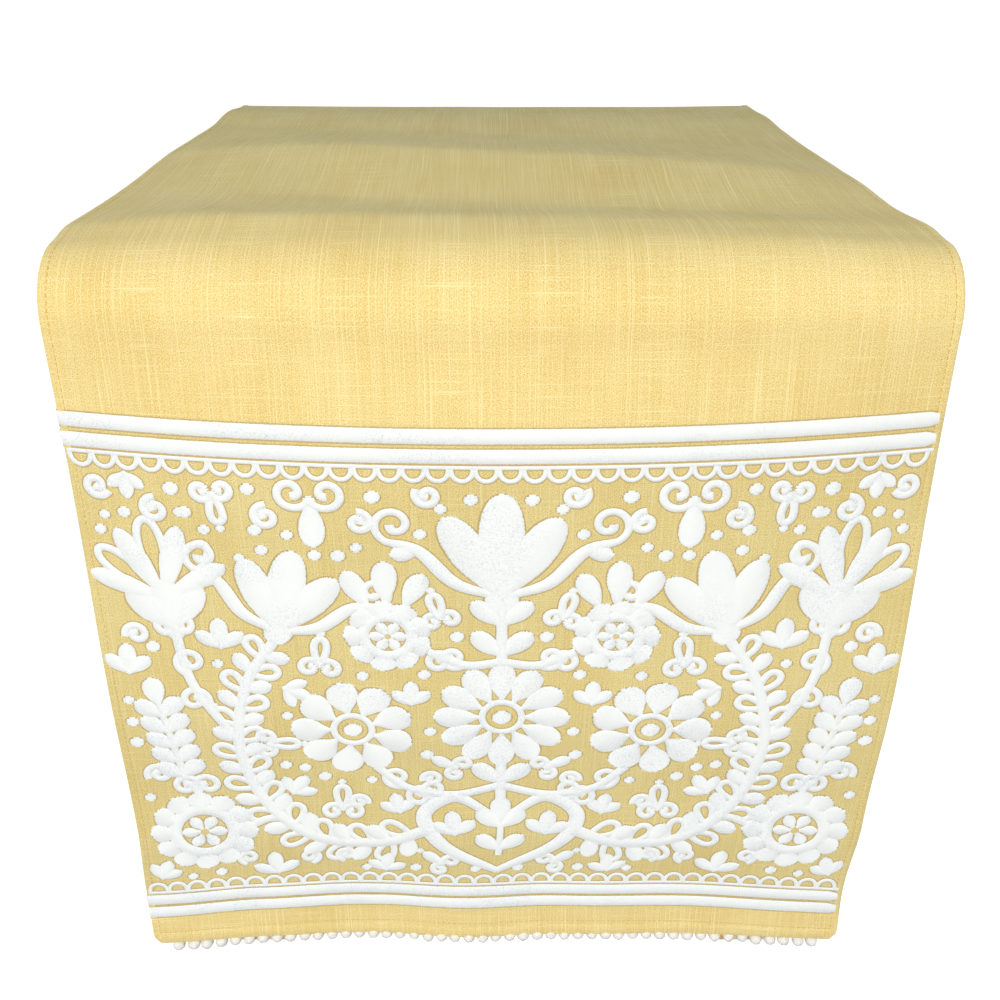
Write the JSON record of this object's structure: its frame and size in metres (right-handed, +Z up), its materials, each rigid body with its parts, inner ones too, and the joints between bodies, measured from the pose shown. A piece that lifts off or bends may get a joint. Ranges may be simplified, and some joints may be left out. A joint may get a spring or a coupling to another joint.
{
  "type": "embroidered table runner on low table",
  "caption": "Linen table runner with white embroidered ends and a ball trim, draped over a plain low table so that its ends hang down.",
  "frame": {"origin": "on the floor under the middle of the table", "axes": "+Z up, X across the runner, Y along the runner; the front hanging end faces -Y"},
  "size_m": [0.405, 0.5132, 0.4495],
  "materials": {
    "yellow_linen": "matt slub linen",
    "white_cotton": "soft satin-stitched thread and fluffy balls",
    "table_wood": "plain pale pine, satin"
  },
  "bodies": {
    "root": {"runner_cloth": "yellow_linen", "ball_trim_front": "white_cotton", "ball_trim_back": "white_cotton", "table_top": "table_wood", "table_leg_front_left": "table_wood", "table_leg_front_right": "table_wood", "table_leg_back_left": "table_wood", "table_leg_back_right": "table_wood", "table_apron_front": "table_wood", "table_apron_back": "table_wood", "table_apron_left": "table_wood", "table_apron_right": "table_wood"}
  },
  "joints": []
}
